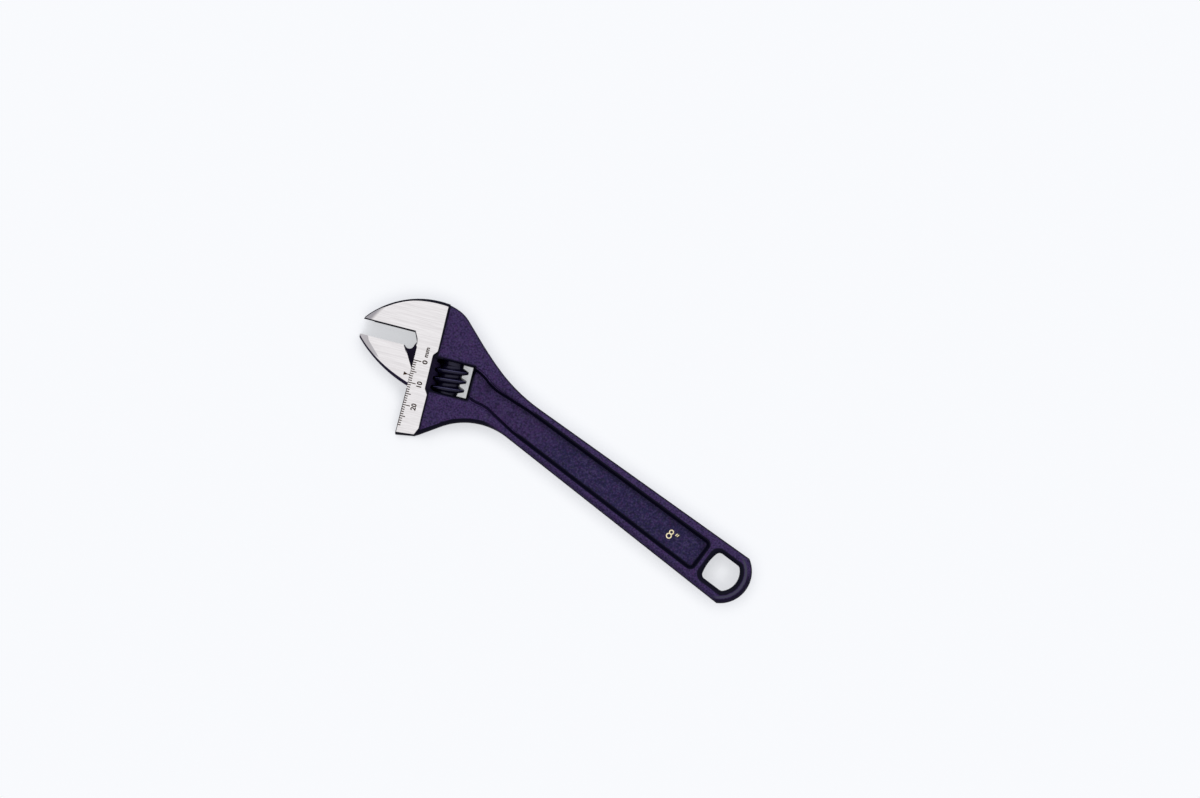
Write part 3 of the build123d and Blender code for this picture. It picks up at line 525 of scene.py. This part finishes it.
def lettering(text, height, width, depth):
    """Bold letters of a height and depth, widened by a factor; their underside is centred at the origin."""
    curve = bpy.data.curves.new("lettering", "FONT")
    curve.body = text
    curve.offset = LETTER_WEIGHT
    curve.resolution_u = LETTER_STEPS
    holder = bpy.data.objects.new("lettering", curve)
    bpy.context.scene.collection.objects.link(holder)
    bpy.context.view_layer.update()
    outline = bpy.data.meshes.new_from_object(holder.evaluated_get(bpy.context.evaluated_depsgraph_get()))
    bpy.data.objects.remove(holder)
    bpy.data.curves.remove(curve)
    letters = bmesh.new()
    letters.from_mesh(outline)
    bpy.data.meshes.remove(outline)
    bmesh.ops.remove_doubles(letters, verts=letters.verts, dist=SAME_POINT)
    corners = [v.co for v in letters.verts]
    low = Vector((min(c.x for c in corners), min(c.y for c in corners), 0))
    high = Vector((max(c.x for c in corners), max(c.y for c in corners), 0))
    size = height / (high.y - low.y)
    bmesh.ops.translate(letters, verts=letters.verts, vec=-(low + high) / 2)
    bmesh.ops.scale(letters, verts=letters.verts, vec=(size * width, size, size))
    thicken(letters, depth)
    return letters


burnt_mark, tree, shader = new_material("burnt mark")
two_tones(tree, shader, SOOT_GRAIN, SOOT_TONES, SOOT_ROUGHNESS, SOOT_RANGE)
shader["Specular IOR Level"].default_value = 0.2

rule = bmesh.new()
for millimetre in range(SCALE_LENGTH + 1):
    end = next(TICK_ENDS[step] for step in TICK_ENDS if millimetre % step == 0)
    middle = Vector(((CHEEK_EDGE + end) / 2, SCALE_ZERO - millimetre, FACE_HEIGHT + PROUD - MARK_DEPTH / 2))
    size = Matrix.Diagonal((end - CHEEK_EDGE, TICK_WIDTH, MARK_DEPTH, 1))
    bmesh.ops.create_cube(rule, size=1.0, matrix=head_turn @ Matrix.Translation(middle) @ size)
placed(rule, "scale_ticks", "body", burnt_mark)

upward = Matrix.Rotation(math.radians(90), 4, "Z")
for name, text, across_at, tall, width in NUMBERS:
    number = lettering(text, tall, width, MARK_DEPTH)
    middle = Vector((NUMBER_LINE, across_at, FACE_HEIGHT + PROUD - MARK_DEPTH))
    bmesh.ops.transform(number, matrix=head_turn @ Matrix.Translation(middle) @ upward, verts=number.verts)
    placed(number, name, "body", burnt_mark)


# Size mark in the handle's recess: the figure 8 and the inch mark, in pale gold foil.
# It is drawn with one thin line, two rings for the figure and two leaning strokes.
SIZE_MARK = (130.35, 0.0)
PANEL_FLOOR = 10.0
LINE = 0.47
RINGS = ((-0.98, 1.06, MARK_DEPTH), (0.96, 0.87, MARK_DEPTH + 0.01))
RING_STEPS = 40
STROKES = (2.45, 3.25)
STROKE_HEIGHT = 1.35
STROKE_SIZE = (0.38, 1.3)
STROKE_LEAN = math.radians(-16)
FOIL_GRAIN, FOIL_ROUGHNESS = (0.0006,) * 3, (0.45, 0.32)
FOIL_TONES = (0.80, 0.69, 0.42), (0.95, 0.87, 0.60)

gold_foil, tree, shader = new_material("pale gold foil")
two_tones(tree, shader, FOIL_GRAIN, FOIL_TONES, FOIL_ROUGHNESS)
shader["Metallic"].default_value = 0.6

figure = bmesh.new()
for centre_y, radius, ring_top in RINGS:
    section = [
        figure.verts.new((radius + side * LINE / 2, centre_y, height))
        for side, height in ((-1, 0), (1, 0), (1, ring_top), (-1, ring_top))
    ]
    loop = [figure.edges.new(ends) for ends in zip(section, section[1:] + section[:1])]
    bmesh.ops.spin(
        figure, geom=[*section, *loop], cent=(0, centre_y, 0), axis=(0, 0, 1), angle=math.tau,
        steps=RING_STEPS, use_merge=True,
    )
for stroke_x in STROKES:
    seat = Matrix.Translation((stroke_x, STROKE_HEIGHT, MARK_DEPTH / 2))
    lean = seat @ Matrix.Rotation(STROKE_LEAN, 4, "Z")
    bmesh.ops.create_cube(figure, size=1.0, matrix=lean @ Matrix.Diagonal((*STROKE_SIZE, MARK_DEPTH, 1)))
bmesh.ops.recalc_face_normals(figure, faces=figure.faces)
lift = Matrix.Translation((*SIZE_MARK, PANEL_FLOOR + PROUD - MARK_DEPTH))
bmesh.ops.transform(figure, matrix=Matrix.Scale(MM, 4) @ lift, verts=figure.verts)
placed(figure, "size_mark", "body", gold_foil)


# Pin: a turned steel screw that goes in from the lower shoulder and carries the worm.
# Its slotted head is bright in its hole, and its shaft inside the worm is painted dark as shade.
TURNED_RINGS, TURNED_ROUGHNESS = (6.0, 0.12, 6.0), (0.42, 0.30)
TURNED_TONES = (0.42, 0.42, 0.43), (0.58, 0.575, 0.58)
PIN_SHADE_FROM, PIN_SHADE_STEEL = (-17.0, -16.0), (0.012, 0.011, 0.016)

turned_steel, tree, shader = new_material("turned steel")
at = fed(tree, where)
rings = speckle(tree, at["Head"], TURNED_RINGS)
clean_steel = mixed(tree, ramp(tree, rings, NOISE_RANGE), *TURNED_TONES)
pin_shade = ramp(tree, at["Across"], PIN_SHADE_FROM)
tree.links.new(mixed(tree, pin_shade, clean_steel, PIN_SHADE_STEEL), shader["Base Color"])
tree.links.new(ramp(tree, rings, NOISE_RANGE, TURNED_ROUGHNESS), shader["Roughness"])
shader["Metallic"].default_value = 1.0
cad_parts["worm_pin"].material_slots[0].material = turned_steel


# Spring: a short coil of drawn wire in the worm's pocket, round the pin.
# It keeps the worm from turning by itself.
WIRE_SCUFFS, WIRE_ROUGHNESS = (0.0003,) * 3, (0.36, 0.26)
WIRE_TONES = (0.45, 0.45, 0.47), (0.63, 0.63, 0.65)

drawn_wire, tree, shader = new_material("drawn wire")
two_tones(tree, shader, WIRE_SCUFFS, WIRE_TONES, WIRE_ROUGHNESS)
shader["Metallic"].default_value = 1.0
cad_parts["worm_spring"].material_slots[0].material = drawn_wire


# Worm: a turned and blackened adjusting screw, whose coarse right-hand thread meshes with the jaw's rack.
# A highlight is painted on one flank of each rounded crest.
WORM_AXIS = (10.55, FACE_HEIGHT / 2)
WORM_LINE = (-math.sin(HEAD_ANGLE), math.cos(HEAD_ANGLE), 0.0)
CREST_RADII = (6.5, 6.9)
CREST_START, CREST_END = (0.10, 0.35), (0.70, 0.85)
PAINTED_CREST_HIGHLIGHT = (0.050, 0.048, 0.115)
WORM_RECESS, WORM_DEEP = 0.5, 0.96
WORM_ROUGHNESS = (0.26, 0.34)
WORM_GLOSS = (0.72, 0.70, 1.0, 1.0)

black_worm, tree, shader = new_material("black worm")
head = fed(tree, where)["Head"]
coat = fed(tree, black_coat, head, WORM_RECESS, WORM_DEEP)
head_axes = put(tree, "ShaderNodeSeparateXYZ", head).outputs
from_pin = distance_to(tree, head_axes[0], head_axes[2], WORM_AXIS)
facing = put(tree, "ShaderNodeTexCoord").outputs["Normal"]
leaning = put(tree, "ShaderNodeVectorMath", facing, WORM_LINE, operation="DOT_PRODUCT").outputs["Value"]
# Painted highlight on one flank of the crests
crest_highlight = both(
    tree,
    ramp(tree, from_pin, CREST_RADII),
    ramp(tree, leaning, CREST_START),
    ramp(tree, leaning, CREST_END, FALL),
)
tree.links.new(mixed(tree, crest_highlight, coat["Color"], PAINTED_CREST_HIGHLIGHT), shader["Base Color"])
tree.links.new(ramp(tree, coat["Roughness"], COAT_ROUGHNESS, WORM_ROUGHNESS), shader["Roughness"])
shader["Specular IOR Level"].default_value = 0.40
shader["Specular Tint"].default_value = WORM_GLOSS
fine_relief(tree, shader, coat["Height"], strength=0.2, depth=0.00003)
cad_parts["worm"].material_slots[0].material = black_worm


# Moving jaw: a forged jaw on a thin web and a round guide rail cut as a rack, which slides in the cheeks.
# Its sides and the bevel beside its tip are ground, the rest is blackened.
MOVING_ARC_CENTRE = (10.55, 41.62)
MOVING_STRETCH, MOVING_RADII = (-31.0, -8.0), (59.3, 58.6)
INNER_EDGE, INNER_LINE, INNER_END = (0.58, 11.66), (-0.5, -0.35), (-2.5, -0.5)
# Painted shade: the bevel beside the tip gets a darker steel colour, and a strip of the flat face next to
# it a darker one still
MOVING_BEVEL_END = (-19.0, -15.0)
FACET_EDGE, FACET_SOFT, FACET_END = -28.7, 0.2, (-7.5, -6.0)
SHADED_MOVING_BEVEL, SHADED_FACET = (0.60, 0.57, 0.60), (0.46, 0.445, 0.47)
JAW_RECESS, JAW_DEEP = 0.0, 0.8

ground_jaw, tree, shader = new_material("forged and ground jaw")
at = fed(tree, where)
along, across, level, flatness = at["Along"], at["Across"], at["Level"], at["Flatness"]
coat = fed(tree, black_coat, at["Head"], JAW_RECESS, JAW_DEEP)
from_arc = distance_to(tree, along, across, MOVING_ARC_CENTRE)
past_arc = calc(tree, "SUBTRACT", from_arc, ramp(tree, along, MOVING_STRETCH, MOVING_RADII))
within_arc = ramp(tree, past_arc, around(0.0), FALL)
from_inner = calc(tree, "ADD", calc(tree, "MULTIPLY_ADD", across, *INNER_EDGE), along)
inner_line = either(tree, ramp(tree, from_inner, INNER_LINE, FALL), ramp(tree, across, INNER_END, FALL))
flat_side = both(
    tree,
    ramp(tree, level, GROUND_LEVEL),
    ramp(tree, flatness, GROUND_TILT),
    within_arc,
    inner_line,
)
bevel = both(
    tree,
    ramp(tree, along, MOVING_BEVEL_END, FALL),
    ramp(tree, flatness, BEVEL_STEEP),
    ramp(tree, flatness, BEVEL_FLAT, FALL),
    within_arc,
)
# Painted shade on a strip of the flat face beside the bevel
from_tip = calc(tree, "ADD", along, across)
painted_facet_shade = both(
    tree,
    flat_side,
    ramp(tree, from_tip, around(FACET_EDGE, FACET_SOFT), FALL),
    ramp(tree, across, FACET_END),
)
shaded_bevel_steel = mixed(tree, painted_facet_shade, SHADED_MOVING_BEVEL, SHADED_FACET)
bright = either(tree, flat_side, bevel)
bevel_and_facet_shade = either(tree, bevel, painted_facet_shade)
two_finishes(tree, shader, at["Head"], bright, bevel_and_facet_shade, shaded_bevel_steel, coat, coat["Color"])
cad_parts["moving_jaw"].material_slots[0].material = ground_jaw


# Pointer on the moving jaw: a small burnt triangle with a thin line, which is read against the scale.
# It is cut into the ground face as the scale is.
POINTER_ACROSS = -10.76
POINTER_ENDS = (-9.75, -8.15, -7.05)
POINTER_HALF = 0.78
POINTER_LINE = 0.36

pointer = bmesh.new()
base, tip, edge = POINTER_ENDS
floor_height = FACE_HEIGHT + PROUD - MARK_DEPTH
outline = [
    (base, POINTER_ACROSS - POINTER_HALF), (tip, POINTER_ACROSS - POINTER_LINE / 2),
    (edge, POINTER_ACROSS - POINTER_LINE / 2), (edge, POINTER_ACROSS + POINTER_LINE / 2),
    (tip, POINTER_ACROSS + POINTER_LINE / 2), (base, POINTER_ACROSS + POINTER_HALF),
]
pointer.faces.new([pointer.verts.new((*corner, floor_height)) for corner in outline])
thicken(pointer, MARK_DEPTH)
bmesh.ops.transform(pointer, matrix=head_turn, verts=pointer.verts)
placed(pointer, "jaw_pointer", "jaw", burnt_mark)


# Studio: a pale sheet under the wrench, a soft dome above and a large soft lamp at the picture's top.
# Close under the head, shade is painted into the sheet's colour: black under the worm but for a lit gap
# behind it, and dark along the foot of the fixed jaw's face and of the cheeks' lower end.
PHOTO_WIDTH, PIXELS_PER_MM = 1200, 2.29
IMAGE_WIDTH = PHOTO_WIDTH / PIXELS_PER_MM * MM
IMAGE_RIGHT = Vector((0.7997, 0.6004, 0))
IMAGE_UP = Vector((-0.6004, 0.7997, 0))
VIEW_POINT = Vector((70.46, 28.72, 11.0)) * MM
SHEET_HALF, SHEET_DROP = 6.0, 0.00008
SHEET_GRAIN = (0.16,) * 3
SHEET_TONES = (0.885, 0.905, 0.985), (0.90, 0.92, 0.99)
SHEET_GLOW = (0.945, 0.957, 0.985, 1.0)
SHADED_SHEET = (0.004, 0.004, 0.008)
SHADE_REACH, SHADE_SAMPLES = 0.0095, 8
CONTACT_SHADE = ((0.04, 0.14), (0.03, 0.56))
SOFT_SHADE = ((0.5, 0.98), (0.0, 0.44))
SHADE_CORNER = 0.3
WORM_SHADE, WORM_SHADE_EDGE = ((10.0, -7.86), (11.0, 8.5)), (-0.4, 0.0)
LIT_GAP, LIT_GAP_EDGE = ((16.9, -7.93), (2.25, 6.93)), (-0.25, 0.15)
FACE_FOOT = ((-18.7, JAW_FACE + 0.06), (9.3, 0.27))
STRIP_FOOT, STRIP_SLOPE = ((-2.5, -36.31), (4.4, 0.35)), 0.164

pale_sheet, tree, shader = new_material("pale sheet")
fleck = speckle(tree, put(tree, "ShaderNodeTexCoord").outputs["Object"], SHEET_GRAIN)
spot = fed(tree, where)
under_head = spot["Along"], spot["Across"]
sloping = spot["Along"], calc(tree, "MULTIPLY_ADD", spot["Along"], -STRIP_SLOPE, spot["Across"])
from_worm = from_box(tree, under_head, *WORM_SHADE, SHADE_CORNER)
from_gap = from_box(tree, under_head, *LIT_GAP, SHADE_CORNER)
from_face = from_box(tree, under_head, *FACE_FOOT, SHADE_CORNER)
from_strip = from_box(tree, sloping, *STRIP_FOOT, SHADE_CORNER)
clear = both(
    tree,
    either(tree, ramp(tree, from_worm, WORM_SHADE_EDGE), ramp(tree, from_gap, LIT_GAP_EDGE, FALL)),
    ramp(tree, from_face, around(0.0)),
    ramp(tree, from_strip, around(0.0)),
)
sheet_colour = mixed(tree, clear, SHADED_SHEET, mixed(tree, fleck, *SHEET_TONES))
tree.links.new(sheet_colour, shader["Base Color"])
shader["Roughness"].default_value = 0.9
shader["Specular IOR Level"].default_value = 0.1
ray = put(tree, "ShaderNodeLightPath").outputs
seen = either(tree, ray["Is Camera Ray"], ray["Is Glossy Ray"], ray["Is Transmission Ray"])
glow = put(tree, "ShaderNodeEmission", SHEET_GLOW, 1.0).outputs[0]
open_sky = put(tree, "ShaderNodeAmbientOcclusion", samples=SHADE_SAMPLES)
open_sky.inputs["Distance"].default_value = SHADE_REACH
openness = open_sky.outputs["AO"]
lit_share = calc(tree, "ADD", ramp(tree, openness, *CONTACT_SHADE), ramp(tree, openness, *SOFT_SHADE))
shade = tree.nodes["Principled BSDF"].outputs[0]
pale = put(tree, "ShaderNodeMixShader", both(tree, seen, lit_share, clear), shade, glow).outputs[0]
tree.links.new(pale, tree.nodes["Material Output"].inputs["Surface"])
sheet = bmesh.new()
bmesh.ops.create_grid(sheet, x_segments=1, y_segments=1, size=SHEET_HALF)
bmesh.ops.translate(sheet, verts=sheet.verts, vec=(VIEW_POINT.x, VIEW_POINT.y, -SHEET_DROP))
sheet_mesh = bpy.data.meshes.new("floor")
sheet.to_mesh(sheet_mesh)
sheet.free()
sheet_mesh.materials.append(pale_sheet)
floor = bpy.data.objects.new("floor", sheet_mesh)
bpy.context.scene.collection.objects.link(floor)

# Dome: brightest overhead, and a little brighter on the lamp's side
LAMP_LEFT = 0.1
LAMP_SIDE = (IMAGE_UP - IMAGE_RIGHT * LAMP_LEFT).normalized()
DOME_SHARPNESS, DOME_GAIN, DOME_LEVEL, SIDE_GAIN = 1.5, 0.30, 0.70, 0.3

world = bpy.data.worlds.new("studio")
bpy.context.scene.world = world
world.use_nodes = True
tree = world.node_tree
sky = put(tree, "ShaderNodeTexCoord").outputs["Generated"]
upwards = put(tree, "ShaderNodeSeparateXYZ", sky).outputs[2]
dome = calc(tree, "POWER", calc(tree, "MAXIMUM", upwards, 0.0), DOME_SHARPNESS)
level_light = calc(tree, "MULTIPLY_ADD", dome, DOME_GAIN, DOME_LEVEL)
side = put(tree, "ShaderNodeVectorMath", sky, LAMP_SIDE, operation="DOT_PRODUCT").outputs["Value"]
strength = calc(tree, "MULTIPLY", level_light, calc(tree, "MULTIPLY_ADD", side, SIDE_GAIN, 1.0))
tree.links.new(strength, tree.nodes["Background"].inputs["Strength"])
tree.nodes["Background"].inputs["Color"].default_value = (1.0, 1.0, 1.0, 1.0)

# Lamp: a large soft disc, well above the sheet
LAMP_HEIGHT = math.radians(50)
LAMP_DISTANCE, LAMP_SIZE, LAMP_POWER = 3.0, 1.6, 14.0

lamp = bpy.data.lights.new("large soft lamp", "AREA")
lamp.shape = "DISK"
lamp.size = LAMP_SIZE
lamp.energy = LAMP_POWER
key = bpy.data.objects.new("large soft lamp", lamp)
toward = LAMP_SIDE * math.cos(LAMP_HEIGHT)
toward.z = math.sin(LAMP_HEIGHT)
key.location = VIEW_POINT + toward * LAMP_DISTANCE
key.rotation_euler = (-toward).to_track_quat("-Z", "Y").to_euler()
bpy.context.scene.collection.objects.link(key)

# Camera: straight above, with a long lens, turned so that the wrench lies aslant
SENSOR, LENS = 36.0, 400.0

view = bpy.data.cameras.new("camera")
view.sensor_width = SENSOR
view.lens = LENS
camera = bpy.data.objects.new("camera", view)
distance = LENS / SENSOR * IMAGE_WIDTH
turn = Matrix((IMAGE_RIGHT, IMAGE_UP, Vector((0, 0, 1)))).transposed().to_4x4()
camera.matrix_world = Matrix.Translation(VIEW_POINT + Vector((0, 0, distance))) @ turn
bpy.context.scene.collection.objects.link(camera)
bpy.context.scene.camera = camera
bpy.context.scene.view_settings.view_transform = "Standard"
